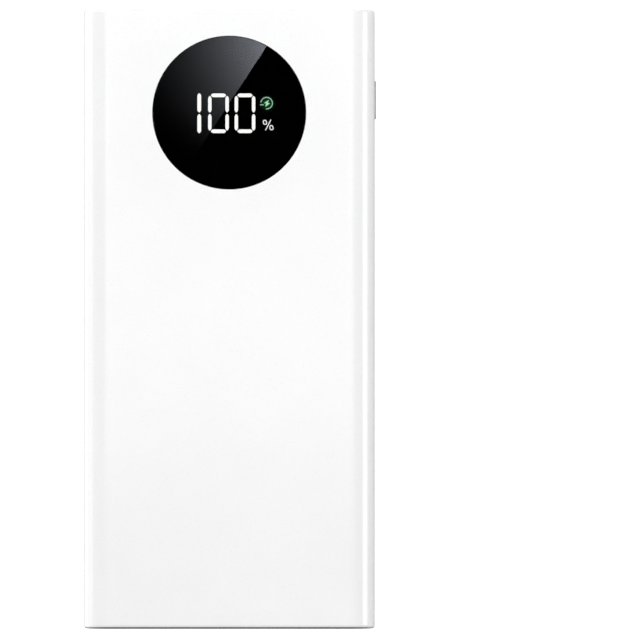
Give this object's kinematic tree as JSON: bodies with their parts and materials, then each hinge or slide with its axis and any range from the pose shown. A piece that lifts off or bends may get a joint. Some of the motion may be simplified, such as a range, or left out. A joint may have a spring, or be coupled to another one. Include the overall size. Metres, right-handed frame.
{
  "type": "power bank",
  "caption": "Slim white power bank with a round charge display, a side button and charging sockets in one end.",
  "frame": {"origin": "middle of the flat back face, with the power bank lying on its back", "axes": "+Z out of the display, +Y along the case towards the sockets, +X across it towards the button"},
  "size_m": [0.0684, 0.1444, 0.016],
  "materials": {
    "white_case": "satin",
    "grey_button": "satin",
    "smoked_lens": "polished",
    "black_adhesive": "matt",
    "black_ink": "printed",
    "black_display": "matt",
    "green_board": "solder mask",
    "light_chip": "satin",
    "white_light": "glowing",
    "unlit_bar": "satin",
    "pale_green_light": "glowing",
    "green_light": "glowing",
    "gold_contact": "plated",
    "chip_black": "moulded",
    "steel": "satin",
    "socket_steel": "nickel plated",
    "socket_black": "moulded",
    "plunger_white": "moulded",
    "ferrite": "sintered",
    "capacitor_can": "drawn",
    "capacitor_tan": "fired",
    "pouch_foil": "foil laminate",
    "yellow_tape": "film",
    "grey_foam": "foam",
    "nickel": "rolled",
    "red_wire": "satin",
    "black_wire": "satin"
  },
  "bodies": {
    "power_bank": {"front_shell": "white_case", "back_shell": "white_case", "display_lens": "smoked_lens", "lens_mask": "black_ink", "lens_adhesive": "black_adhesive", "display_reflector": "black_display", "display_base": "green_board", "display_leds": "light_chip", "lit_bars": "white_light", "unlit_bars": "unlit_bar", "charge_ring": "pale_green_light", "charge_bolt": "green_light", "percent_sign": "white_light", "display_pins": "gold_contact", "display_driver_chip": "chip_black", "main_board": "green_board", "board_screws": "steel", "usb_a_left_shell": "socket_steel", "usb_a_left_insulator": "socket_black", "usb_a_left_contacts": "gold_contact", "usb_a_right_shell": "socket_steel", "usb_a_right_insulator": "socket_black", "usb_a_right_contacts": "gold_contact", "usb_c_shell": "socket_steel", "usb_c_insulator": "socket_black", "usb_c_contacts": "gold_contact", "micro_usb_shell": "socket_steel", "micro_usb_insulator": "socket_black", "micro_usb_contacts": "gold_contact", "switch_body": "socket_black", "switch_cover": "steel", "switch_dome": "steel", "power_inductor": "ferrite", "controller_chip": "chip_black", "power_transistors": "chip_black", "bulk_capacitors": "capacitor_can", "ceramic_capacitors": "capacitor_tan", "resistors": "chip_black", "back_cell": "pouch_foil", "front_cell": "pouch_foil", "cell_tape": "yellow_tape", "foam_pad": "grey_foam", "adhesive_pad": "grey_foam", "cell_tabs": "nickel", "protection_board": "green_board", "protection_chips": "chip_black", "positive_lead": "red_wire", "negative_lead": "black_wire"},
    "button": {"button_cap": "grey_button", "switch_plunger": "plunger_white"}
  },
  "joints": [
    {"name": "button_press", "type": "slide", "parent": "power_bank", "child": "button", "axis": [-1, 0, 0], "range_m": [0, 0.0003], "stiffness_N_per_m": 5000}
  ]
}
